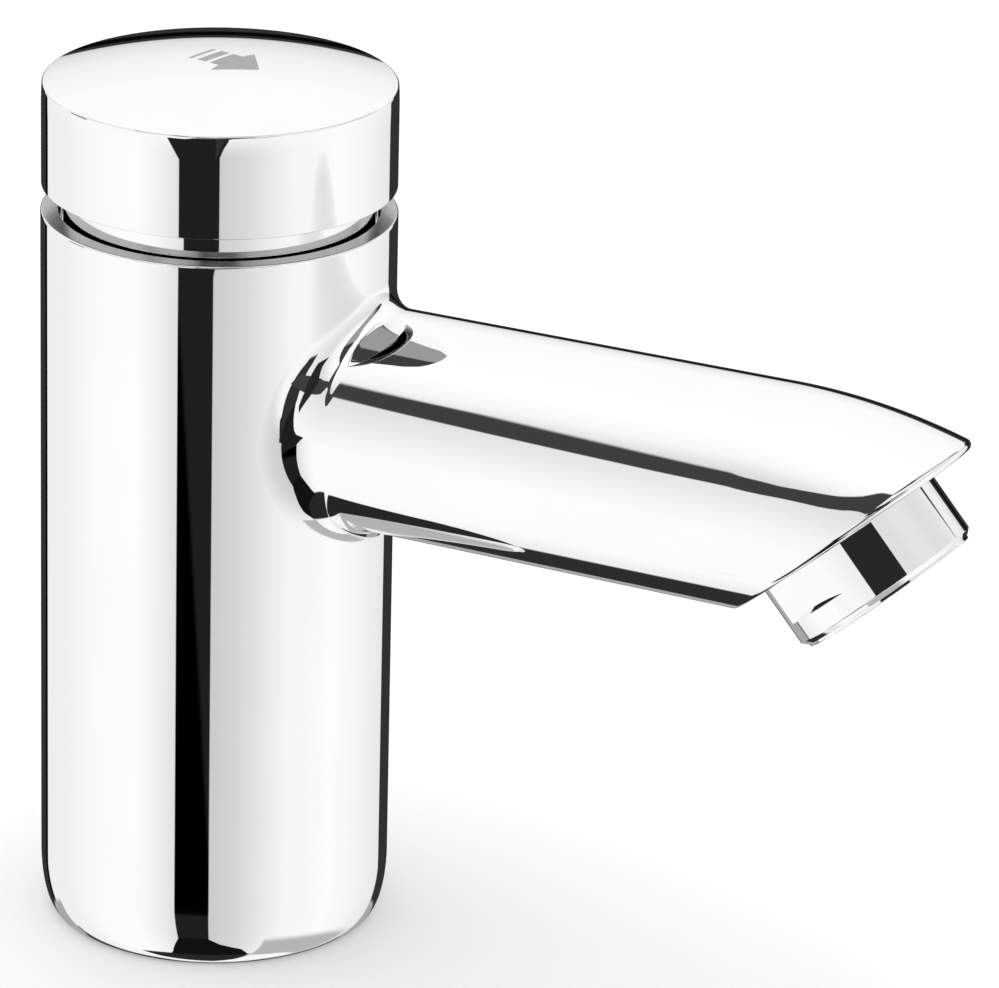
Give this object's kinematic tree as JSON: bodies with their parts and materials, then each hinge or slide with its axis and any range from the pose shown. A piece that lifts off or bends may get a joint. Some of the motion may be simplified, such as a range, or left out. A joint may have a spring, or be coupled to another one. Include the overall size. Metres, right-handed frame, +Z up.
{
  "type": "push timed tap",
  "caption": "Deck-mounted self-closing tap: round pillar, short level spout with a slanted end and aerator, and a domed cap that is pressed to open it.",
  "frame": {"origin": "centre of the foot on the deck, 0.3 mm under the mouth of the inlet port", "axes": "+Z up along the pillar; -Y along the spout, towards the user; +X to the user's right as seen from behind the tap, so X is the width"},
  "size_m": [0.044, 0.1218, 0.1122],
  "materials": {
    "chrome_plate": "mirror polish",
    "bare_brass": "machined",
    "black_rubber": "matt",
    "stainless_steel": "satin",
    "white_acetal": "satin",
    "grey_acetal": "satin"
  },
  "bodies": {
    "tap": {"tap_body": "chrome_plate", "base_plug": "bare_brass", "base_plug_oring": "black_rubber", "base_gasket": "black_rubber", "inlet_strainer": "stainless_steel", "cartridge_housing": "bare_brass", "housing_oring_upper": "black_rubber", "housing_oring_lower": "black_rubber", "valve_seat": "bare_brass", "cartridge_cover": "bare_brass", "cover_oring": "black_rubber", "spindle_seal": "black_rubber", "thrust_washer": "white_acetal", "guide_collar": "chrome_plate", "return_spring": "stainless_steel", "aerator_housing": "chrome_plate", "aerator_washer": "black_rubber", "jet_regulator": "white_acetal", "regulator_ring": "black_rubber", "outlet_screen": "grey_acetal"},
    "press_unit": {"push_cap": "chrome_plate", "cap_carrier": "white_acetal", "cap_snap_ring": "stainless_steel", "spindle_clip": "stainless_steel", "spindle": "stainless_steel", "timing_piston": "white_acetal", "lip_seal": "black_rubber", "timing_jet": "bare_brass", "piston_clip": "stainless_steel", "seat_washer": "black_rubber", "valve_plunger": "bare_brass", "plunger_nut": "stainless_steel"}
  },
  "joints": [
    {"name": "cap_press", "type": "slide", "parent": "tap", "child": "press_unit", "axis": [0, 0, -1], "range_m": [0, 0.003], "stiffness_N_per_m": 1500, "springref_m": -0.006, "deforming": ["return_spring"]}
  ]
}
